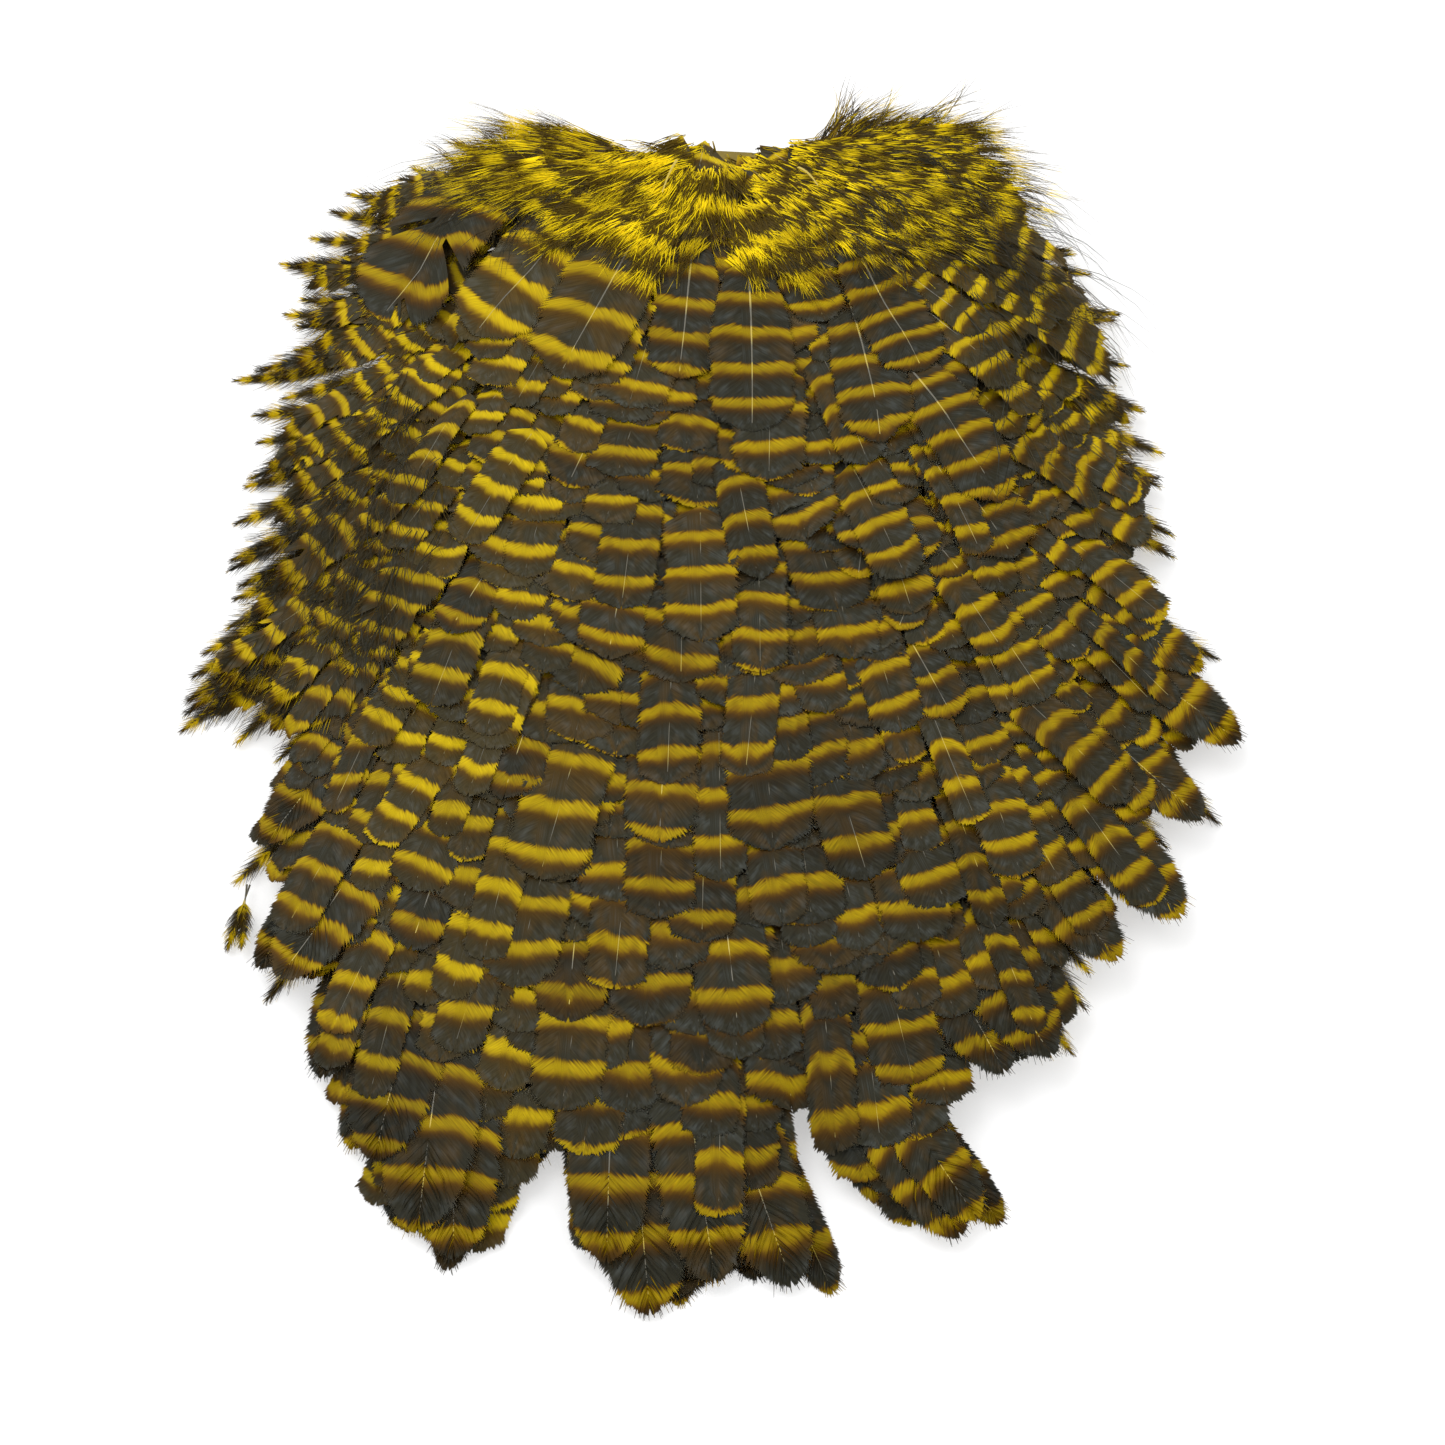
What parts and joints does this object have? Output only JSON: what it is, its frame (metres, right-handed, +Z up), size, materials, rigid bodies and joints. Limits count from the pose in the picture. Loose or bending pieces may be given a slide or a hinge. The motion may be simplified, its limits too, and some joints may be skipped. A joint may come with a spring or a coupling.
{
  "type": "hen saddle hackle",
  "caption": "Dressed patch of hen saddle skin with overlapping barred feathers that fan out from the neck end, dyed yellow and slate, lying flat.",
  "frame": {"origin": "on the table, under the middle of the patch", "axes": "+Z up out of the feather side, +Y towards the neck end, +X to the right seen from the tail end"},
  "size_m": [0.1402, 0.1878, 0.0121],
  "materials": {
    "skin": "dry matte",
    "webbed_feather": "soft satin, barred slate, brown and yellow",
    "loose_feather": "soft fluffy, barred brown and yellow"
  },
  "bodies": {
    "root": {"back_feather_01": "webbed_feather", "back_feather_02": "webbed_feather", "back_feather_03": "webbed_feather", "back_feather_04": "webbed_feather", "back_feather_05": "webbed_feather", "back_feather_06": "webbed_feather", "cape_feather_01": "webbed_feather", "cape_feather_02": "webbed_feather", "cape_feather_03": "webbed_feather", "cape_feather_04": "webbed_feather", "crown_feather_01": "loose_feather", "crown_feather_02": "loose_feather", "crown_feather_03": "loose_feather", "flank_left_feather_01": "loose_feather", "flank_left_feather_02": "loose_feather", "flank_left_feather_03": "loose_feather", "flank_left_feather_04": "loose_feather", "flank_left_feather_05": "loose_feather", "flank_left_feather_06": "loose_feather", "flank_left_feather_07": "loose_feather", "flank_left_feather_08": "loose_feather", "flank_left_feather_09": "loose_feather", "flank_right_feather_01": "loose_feather", "flank_right_feather_02": "loose_feather", "flank_right_feather_03": "loose_feather", "flank_right_feather_04": "loose_feather", "flank_right_feather_05": "loose_feather", "flank_right_feather_06": "loose_feather", "flank_right_feather_07": "loose_feather", "flank_right_feather_08": "loose_feather", "hip_left_feather_01": "webbed_feather", "hip_left_feather_02": "webbed_feather", "hip_left_feather_03": "webbed_feather", "hip_right_feather_01": "webbed_feather", "hip_right_feather_02": "webbed_feather", "hip_right_feather_03": "webbed_feather", "hip_right_feather_04": "webbed_feather", "hip_right_feather_05": "webbed_feather", "hip_right_feather_06": "webbed_feather", "hip_right_feather_07": "webbed_feather", "rump_feather_01": "webbed_feather", "rump_feather_02": "webbed_feather", "rump_feather_03": "webbed_feather", "rump_feather_04": "webbed_feather", "rump_feather_05": "webbed_feather", "saddle_feather_01": "webbed_feather", "saddle_feather_02": "webbed_feather", "saddle_feather_03": "webbed_feather", "saddle_feather_04": "webbed_feather", "saddle_feather_05": "webbed_feather", "skin": "skin", "tail_feather_01": "webbed_feather", "tail_feather_02": "webbed_feather", "tail_feather_03": "webbed_feather", "tail_feather_04": "webbed_feather", "tail_feather_05": "webbed_feather", "tail_feather_06": "webbed_feather", "tail_feather_07": "webbed_feather", "tail_feather_08": "webbed_feather", "tail_feather_09": "webbed_feather"}
  },
  "joints": []
}
